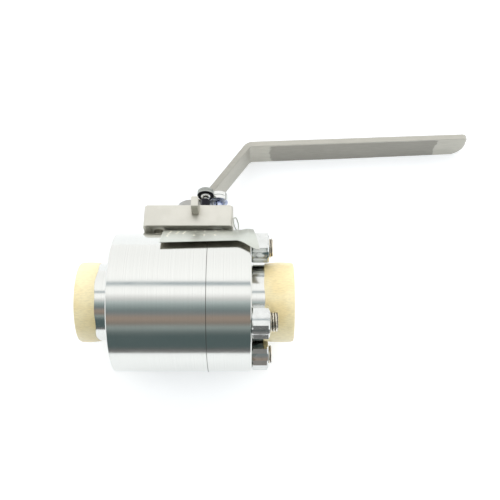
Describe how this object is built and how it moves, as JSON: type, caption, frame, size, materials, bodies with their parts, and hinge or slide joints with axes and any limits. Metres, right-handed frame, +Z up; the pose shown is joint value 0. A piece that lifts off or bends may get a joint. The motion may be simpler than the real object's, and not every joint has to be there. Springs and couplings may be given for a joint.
{
  "type": "lever-operated ball valve",
  "caption": "Two-piece forged floating ball valve with socket-weld pipe ends, an actuator mounting pad and a bent flat-bar lever, shown open.",
  "frame": {"origin": "centre of the ball, on the flow bore's axis", "axes": "+X along the flow towards the bolted closure, +Z up the stem, +Y completes the right-handed frame; the lever lies along +X when the valve is open"},
  "size_m": [0.3403, 0.117, 0.2242],
  "materials": {
    "polished_stainless": "turned and polished stainless steel",
    "seat_polymer": "turned PTFE",
    "spring_steel": "spring stainless steel",
    "graphite": "graphite-filled gasket",
    "black_rubber": "moulded O-ring rubber",
    "stud_steel": "rolled stainless thread",
    "nut_steel": "cold-formed stainless steel",
    "polished_ball": "lapped mirror finish",
    "stem_steel": "ground stainless steel",
    "blasted_stainless": "bead-blasted stainless steel",
    "black_oxide_steel": "black oxide on alloy steel",
    "blued_steel": "bright turned steel",
    "hub_steel": "turned stainless steel",
    "matt_lever_steel": "pickled hot-rolled stainless bar",
    "weld_metal": "TIG weld bead",
    "tag_steel": "rolled stainless sheet",
    "masking_tape": "creped masking tape"
  },
  "bodies": {
    "housing": {"body": "polished_stainless", "closure": "polished_stainless", "inlet_seat": "seat_polymer", "outlet_seat": "seat_polymer", "inlet_seat_spring": "spring_steel", "outlet_seat_spring": "spring_steel", "body_gasket": "graphite", "closure_o_ring": "black_rubber", "closure_studs": "stud_steel", "closure_nuts": "nut_steel", "stem_thrust_washer": "seat_polymer", "stem_packing": "seat_polymer", "packing_follower": "stem_steel", "disc_springs": "spring_steel", "gland_nut": "stem_steel", "mounting_pad": "blasted_stainless", "pad_gasket": "graphite", "pad_screws": "nut_steel", "locating_key": "blasted_stainless", "open_stop_screw": "black_oxide_steel", "closed_stop_screw": "blued_steel", "id_tag": "tag_steel", "tag_wire": "tag_steel", "inlet_tape": "masking_tape", "outlet_tape": "masking_tape"},
    "lever": {"lever_bar": "matt_lever_steel", "lever_hub": "hub_steel", "lever_weld": "weld_metal", "hub_set_screw": "black_oxide_steel", "stop_plate": "blasted_stainless", "stem": "stem_steel", "stem_o_ring": "black_rubber", "antistatic_ball": "polished_ball", "antistatic_spring": "spring_steel"},
    "ball": {"ball": "polished_ball"}
  },
  "joints": [
    {"name": "lever_turn", "type": "hinge", "parent": "housing", "child": "lever", "pos_m": [0, 0, 0.094], "axis": [0, 0, 1], "range_deg": [-90, 0]},
    {"name": "ball_turn", "type": "hinge", "parent": "housing", "child": "ball", "pos_m": [0, 0, 0], "axis": [0, 0, 1], "range_deg": [-90, 0]}
  ],
  "couplings": [
    {"joint": "ball_turn", "follows": "lever_turn", "ratio": 1}
  ]
}
